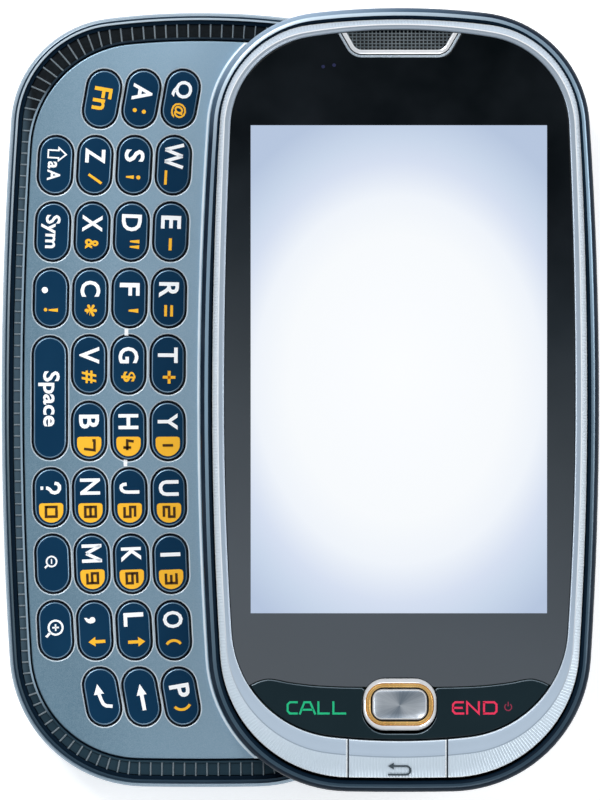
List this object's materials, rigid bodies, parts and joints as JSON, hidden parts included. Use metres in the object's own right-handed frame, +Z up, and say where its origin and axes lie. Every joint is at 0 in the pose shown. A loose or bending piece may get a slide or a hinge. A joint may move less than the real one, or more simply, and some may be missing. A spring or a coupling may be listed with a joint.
{
  "type": "slider phone",
  "caption": "Side-sliding messaging phone, open: a display half with touch window and front keys slides off a keyboard half with a full letter keyboard.",
  "frame": {"origin": "on the table under the middle of the open phone, which lies on its back", "axes": "+X from the keyboard half to the display half, along the slide; +Y along the phone towards the earpiece; +Z up through the screen"},
  "size_m": [0.0798, 0.1046, 0.0154],
  "materials": {
    "case_paint": "satin silver-blue paint on the rim and back",
    "cover_paint": "dark blue soft gloss",
    "battery_wrap": "plain dark wrap",
    "circuit_board": "solder-masked board",
    "key_rubber": "dark silicone",
    "deck_paint": "fine metallic silver-blue paint",
    "band_black": "black, ribbed",
    "rail_steel": "brushed",
    "screw_steel": "blackened steel",
    "lens_glass": "dark glossy lens window in its ring",
    "side_key": "painted as the case",
    "rim_blue": "dark blue high gloss",
    "display_panel": "lit pale blue-white screen",
    "frame_silver": "silver, fine ribs on the outer slope",
    "window_black": "black glass with a soft grey sheen",
    "trim_chrome": "polished",
    "mesh_dark": "dark woven mesh",
    "call_panel": "dark slate, semi-gloss",
    "ring_gold": "gold band between chrome lines",
    "ok_metal": "spun metal",
    "key_navy": "navy, bevelled edge, printed legend"
  },
  "bodies": {
    "keyboard_half": {"base_case": "case_paint", "battery": "battery_wrap", "main_board": "circuit_board", "key_membrane": "key_rubber", "keyboard_deck": "deck_paint", "ribbed_band": "band_black", "slide_rails": "rail_steel", "case_screws": "screw_steel", "camera_lens": "lens_glass"},
    "battery_cover": {"battery_cover": "cover_paint"},
    "volume_key": {"volume_key": "side_key"},
    "display_half": {"slider_case": "rim_blue", "slide_carriage": "rail_steel", "slider_board": "circuit_board", "display_module": "display_panel", "front_frame": "frame_silver", "front_window": "window_black", "earpiece_trim": "trim_chrome", "earpiece_mesh": "mesh_dark", "ok_ring": "ring_gold"},
    "call_end_key": {"call_end_key": "call_panel"},
    "ok_key": {"ok_key": "ok_metal"},
    "back_key": {"back_key": "frame_silver"},
    "key_q": {"key_q": "key_navy"},
    "key_w": {"key_w": "key_navy"},
    "key_e": {"key_e": "key_navy"},
    "key_r": {"key_r": "key_navy"},
    "key_t": {"key_t": "key_navy"},
    "key_y": {"key_y": "key_navy"},
    "key_u": {"key_u": "key_navy"},
    "key_i": {"key_i": "key_navy"},
    "key_o": {"key_o": "key_navy"},
    "key_p": {"key_p": "key_navy"},
    "key_a": {"key_a": "key_navy"},
    "key_s": {"key_s": "key_navy"},
    "key_d": {"key_d": "key_navy"},
    "key_f": {"key_f": "key_navy"},
    "key_g": {"key_g": "key_navy"},
    "key_h": {"key_h": "key_navy"},
    "key_j": {"key_j": "key_navy"},
    "key_k": {"key_k": "key_navy"},
    "key_l": {"key_l": "key_navy"},
    "key_backspace": {"key_backspace": "key_navy"},
    "key_fn": {"key_fn": "key_navy"},
    "key_z": {"key_z": "key_navy"},
    "key_x": {"key_x": "key_navy"},
    "key_c": {"key_c": "key_navy"},
    "key_v": {"key_v": "key_navy"},
    "key_b": {"key_b": "key_navy"},
    "key_n": {"key_n": "key_navy"},
    "key_m": {"key_m": "key_navy"},
    "key_comma": {"key_comma": "key_navy"},
    "key_enter": {"key_enter": "key_navy"},
    "key_shift": {"key_shift": "key_navy"},
    "key_sym": {"key_sym": "key_navy"},
    "key_period": {"key_period": "key_navy"},
    "key_space": {"key_space": "key_navy"},
    "key_question": {"key_question": "key_navy"},
    "key_zoom_out": {"key_zoom_out": "key_navy"},
    "key_zoom_in": {"key_zoom_in": "key_navy"}
  },
  "joints": [
    {"name": "display_slide", "type": "slide", "parent": "keyboard_half", "child": "display_half", "axis": [1, 0, 0], "range_m": [-0.0266, 0]},
    {"name": "cover_slide", "type": "slide", "parent": "keyboard_half", "child": "battery_cover", "axis": [0, -1, 0], "range_m": [0, 0.003]},
    {"name": "volume_press", "type": "slide", "parent": "keyboard_half", "child": "volume_key", "axis": [-1, 0, 0], "range_m": [0, 0.00025], "stiffness_N_per_m": 1800},
    {"name": "call_end_rock", "type": "hinge", "parent": "display_half", "child": "call_end_key", "pos_m": [0.0133, -0.0412, 0.0138], "axis": [0, 1, 0], "range_deg": [-1, 1], "stiffness_Nm_per_rad": 0.5},
    {"name": "ok_press", "type": "slide", "parent": "display_half", "child": "ok_key", "axis": [0, 0, -1], "range_m": [0, 0.00035], "stiffness_N_per_m": 1800},
    {"name": "back_press", "type": "slide", "parent": "display_half", "child": "back_key", "axis": [0, 0, -1], "range_m": [0, 0.00035], "stiffness_N_per_m": 1800},
    {"name": "key_q_press", "type": "slide", "parent": "keyboard_half", "child": "key_q", "axis": [0, 0, -1], "range_m": [0, 0.00035], "stiffness_N_per_m": 1800},
    {"name": "key_w_press", "type": "slide", "parent": "keyboard_half", "child": "key_w", "axis": [0, 0, -1], "range_m": [0, 0.00035], "stiffness_N_per_m": 1800},
    {"name": "key_e_press", "type": "slide", "parent": "keyboard_half", "child": "key_e", "axis": [0, 0, -1], "range_m": [0, 0.00035], "stiffness_N_per_m": 1800},
    {"name": "key_r_press", "type": "slide", "parent": "keyboard_half", "child": "key_r", "axis": [0, 0, -1], "range_m": [0, 0.00035], "stiffness_N_per_m": 1800},
    {"name": "key_t_press", "type": "slide", "parent": "keyboard_half", "child": "key_t", "axis": [0, 0, -1], "range_m": [0, 0.00035], "stiffness_N_per_m": 1800},
    {"name": "key_y_press", "type": "slide", "parent": "keyboard_half", "child": "key_y", "axis": [0, 0, -1], "range_m": [0, 0.00035], "stiffness_N_per_m": 1800},
    {"name": "key_u_press", "type": "slide", "parent": "keyboard_half", "child": "key_u", "axis": [0, 0, -1], "range_m": [0, 0.00035], "stiffness_N_per_m": 1800},
    {"name": "key_i_press", "type": "slide", "parent": "keyboard_half", "child": "key_i", "axis": [0, 0, -1], "range_m": [0, 0.00035], "stiffness_N_per_m": 1800},
    {"name": "key_o_press", "type": "slide", "parent": "keyboard_half", "child": "key_o", "axis": [0, 0, -1], "range_m": [0, 0.00035], "stiffness_N_per_m": 1800},
    {"name": "key_p_press", "type": "slide", "parent": "keyboard_half", "child": "key_p", "axis": [0, 0, -1], "range_m": [0, 0.00035], "stiffness_N_per_m": 1800},
    {"name": "key_a_press", "type": "slide", "parent": "keyboard_half", "child": "key_a", "axis": [0, 0, -1], "range_m": [0, 0.00035], "stiffness_N_per_m": 1800},
    {"name": "key_s_press", "type": "slide", "parent": "keyboard_half", "child": "key_s", "axis": [0, 0, -1], "range_m": [0, 0.00035], "stiffness_N_per_m": 1800},
    {"name": "key_d_press", "type": "slide", "parent": "keyboard_half", "child": "key_d", "axis": [0, 0, -1], "range_m": [0, 0.00035], "stiffness_N_per_m": 1800},
    {"name": "key_f_press", "type": "slide", "parent": "keyboard_half", "child": "key_f", "axis": [0, 0, -1], "range_m": [0, 0.00035], "stiffness_N_per_m": 1800},
    {"name": "key_g_press", "type": "slide", "parent": "keyboard_half", "child": "key_g", "axis": [0, 0, -1], "range_m": [0, 0.00035], "stiffness_N_per_m": 1800},
    {"name": "key_h_press", "type": "slide", "parent": "keyboard_half", "child": "key_h", "axis": [0, 0, -1], "range_m": [0, 0.00035], "stiffness_N_per_m": 1800},
    {"name": "key_j_press", "type": "slide", "parent": "keyboard_half", "child": "key_j", "axis": [0, 0, -1], "range_m": [0, 0.00035], "stiffness_N_per_m": 1800},
    {"name": "key_k_press", "type": "slide", "parent": "keyboard_half", "child": "key_k", "axis": [0, 0, -1], "range_m": [0, 0.00035], "stiffness_N_per_m": 1800},
    {"name": "key_l_press", "type": "slide", "parent": "keyboard_half", "child": "key_l", "axis": [0, 0, -1], "range_m": [0, 0.00035], "stiffness_N_per_m": 1800},
    {"name": "key_backspace_press", "type": "slide", "parent": "keyboard_half", "child": "key_backspace", "axis": [0, 0, -1], "range_m": [0, 0.00035], "stiffness_N_per_m": 1800},
    {"name": "key_fn_press", "type": "slide", "parent": "keyboard_half", "child": "key_fn", "axis": [0, 0, -1], "range_m": [0, 0.00035], "stiffness_N_per_m": 1800},
    {"name": "key_z_press", "type": "slide", "parent": "keyboard_half", "child": "key_z", "axis": [0, 0, -1], "range_m": [0, 0.00035], "stiffness_N_per_m": 1800},
    {"name": "key_x_press", "type": "slide", "parent": "keyboard_half", "child": "key_x", "axis": [0, 0, -1], "range_m": [0, 0.00035], "stiffness_N_per_m": 1800},
    {"name": "key_c_press", "type": "slide", "parent": "keyboard_half", "child": "key_c", "axis": [0, 0, -1], "range_m": [0, 0.00035], "stiffness_N_per_m": 1800},
    {"name": "key_v_press", "type": "slide", "parent": "keyboard_half", "child": "key_v", "axis": [0, 0, -1], "range_m": [0, 0.00035], "stiffness_N_per_m": 1800},
    {"name": "key_b_press", "type": "slide", "parent": "keyboard_half", "child": "key_b", "axis": [0, 0, -1], "range_m": [0, 0.00035], "stiffness_N_per_m": 1800},
    {"name": "key_n_press", "type": "slide", "parent": "keyboard_half", "child": "key_n", "axis": [0, 0, -1], "range_m": [0, 0.00035], "stiffness_N_per_m": 1800},
    {"name": "key_m_press", "type": "slide", "parent": "keyboard_half", "child": "key_m", "axis": [0, 0, -1], "range_m": [0, 0.00035], "stiffness_N_per_m": 1800},
    {"name": "key_comma_press", "type": "slide", "parent": "keyboard_half", "child": "key_comma", "axis": [0, 0, -1], "range_m": [0, 0.00035], "stiffness_N_per_m": 1800},
    {"name": "key_enter_press", "type": "slide", "parent": "keyboard_half", "child": "key_enter", "axis": [0, 0, -1], "range_m": [0, 0.00035], "stiffness_N_per_m": 1800},
    {"name": "key_shift_press", "type": "slide", "parent": "keyboard_half", "child": "key_shift", "axis": [0, 0, -1], "range_m": [0, 0.00035], "stiffness_N_per_m": 1800},
    {"name": "key_sym_press", "type": "slide", "parent": "keyboard_half", "child": "key_sym", "axis": [0, 0, -1], "range_m": [0, 0.00035], "stiffness_N_per_m": 1800},
    {"name": "key_period_press", "type": "slide", "parent": "keyboard_half", "child": "key_period", "axis": [0, 0, -1], "range_m": [0, 0.00035], "stiffness_N_per_m": 1800},
    {"name": "key_space_press", "type": "slide", "parent": "keyboard_half", "child": "key_space", "axis": [0, 0, -1], "range_m": [0, 0.00035], "stiffness_N_per_m": 1800},
    {"name": "key_question_press", "type": "slide", "parent": "keyboard_half", "child": "key_question", "axis": [0, 0, -1], "range_m": [0, 0.00035], "stiffness_N_per_m": 1800},
    {"name": "key_zoom_out_press", "type": "slide", "parent": "keyboard_half", "child": "key_zoom_out", "axis": [0, 0, -1], "range_m": [0, 0.00035], "stiffness_N_per_m": 1800},
    {"name": "key_zoom_in_press", "type": "slide", "parent": "keyboard_half", "child": "key_zoom_in", "axis": [0, 0, -1], "range_m": [0, 0.00035], "stiffness_N_per_m": 1800}
  ]
}
